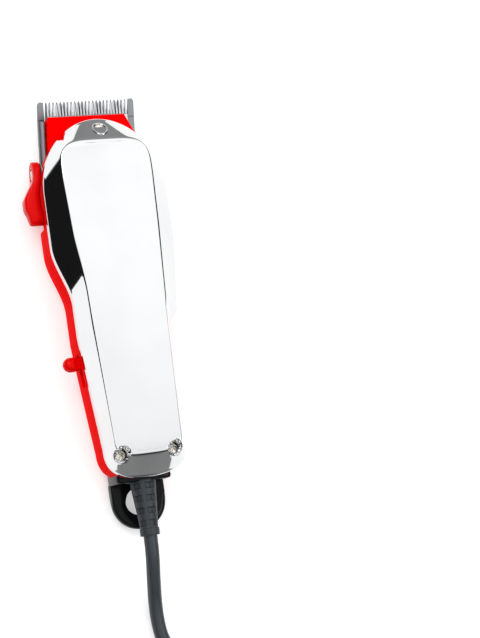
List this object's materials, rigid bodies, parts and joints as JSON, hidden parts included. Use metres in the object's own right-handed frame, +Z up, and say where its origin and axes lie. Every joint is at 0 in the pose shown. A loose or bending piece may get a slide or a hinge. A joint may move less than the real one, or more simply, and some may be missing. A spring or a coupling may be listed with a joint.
{
  "type": "corded hair clipper",
  "caption": "Corded hair clipper with a chrome cover, a red casing, a toothed blade set, a taper lever, a side switch, a hanging loop and a coiled lead with a plug.",
  "frame": {"origin": "middle of the flat belly face that the clipper lies on", "axes": "+X to the right seen from above, +Y towards the blades, +Z up through the cover"},
  "size_m": [0.1012, 0.3603, 0.037],
  "materials": {
    "red_shell": "gloss",
    "red_control": "gloss",
    "cover_chrome": "mirror",
    "blade_steel": "ground",
    "plain_steel": "satin",
    "screw_nickel": "satin",
    "nylon": "satin",
    "lamination": "oiled",
    "winding": "enamelled copper",
    "brass": "satin",
    "black_plastic": "gloss",
    "relief_rubber": "satin",
    "cord_jacket": "satin",
    "wire_brown": "satin",
    "wire_blue": "satin"
  },
  "bodies": {
    "casing": {"lower_housing": "red_shell", "top_cover": "cover_chrome", "cover_screw_tail_left": "screw_nickel", "cover_screw_tail_right": "screw_nickel", "cover_screw_head": "screw_nickel", "lever_washer": "plain_steel", "hinge_leaf": "plain_steel", "leaf_bracket": "plain_steel", "bracket_screw": "screw_nickel", "return_spring_left": "plain_steel", "return_spring_right": "plain_steel", "coil_core": "lamination", "coil_bobbin": "nylon", "coil_winding": "winding", "core_screw_rear": "screw_nickel", "core_screw_front": "screw_nickel", "switch_body": "black_plastic", "switch_contact_rear": "brass", "switch_contact_front": "brass", "strain_relief": "relief_rubber", "hanging_loop": "black_plastic", "cord_inside": "cord_jacket", "cord_clamp": "black_plastic", "clamp_screw_left": "screw_nickel", "clamp_screw_right": "screw_nickel", "lead_live": "wire_brown", "lead_switched": "wire_brown", "lead_neutral": "wire_blue", "cord_run": "cord_jacket", "cord_coil": "cord_jacket", "cord_tie": "black_plastic", "cord_end": "cord_jacket", "plug_body": "relief_rubber", "plug_blade_left": "brass", "plug_blade_right": "brass"},
    "lever": {"taper_lever": "red_control", "lever_eccentric": "plain_steel", "lever_screw": "screw_nickel"},
    "blade_slide": {"fixed_blade": "blade_steel", "blade_carrier": "plain_steel", "blade_screw_left": "screw_nickel", "blade_screw_right": "screw_nickel"},
    "armature": {"armature_arm": "nylon", "armature_laminations": "lamination", "drive_tip": "nylon", "tension_spring": "plain_steel"},
    "cutter": {"moving_blade": "blade_steel"},
    "switch": {"switch_slider": "red_control"},
    "power_adjuster": {"power_screw": "brass"}
  },
  "joints": [
    {"name": "lever_swing", "type": "hinge", "parent": "casing", "child": "lever", "pos_m": [-0.0255, 0.059, 0.013], "axis": [1, 0, 0], "range_deg": [0, 28]},
    {"name": "blade_travel", "type": "slide", "parent": "casing", "child": "blade_slide", "axis": [0, 0.9397, 0.342], "range_m": [0, 0.0022]},
    {"name": "armature_swing", "type": "hinge", "parent": "casing", "child": "armature", "pos_m": [-0.007, -0.02, 0.0175], "axis": [0, 0, 1], "range_deg": [-0.7, 0.7], "stiffness_Nm_per_rad": 4},
    {"name": "cutter_stroke", "type": "slide", "parent": "casing", "child": "cutter", "axis": [1, 0, 0], "range_m": [-0.00125, 0.00125]},
    {"name": "switch_travel", "type": "slide", "parent": "casing", "child": "switch", "axis": [0, 1, 0], "range_m": [-0.0065, 0]},
    {"name": "power_turn", "type": "hinge", "parent": "casing", "child": "power_adjuster", "pos_m": [0.028, 0.052, 0.017], "axis": [1, 0, 0], "range_deg": [-180, 180]}
  ],
  "couplings": [
    {"joint": "blade_travel", "follows": "lever_swing", "m_per_rad": 0.00445},
    {"joint": "cutter_stroke", "follows": "armature_swing", "m_per_rad": -0.101}
  ]
}
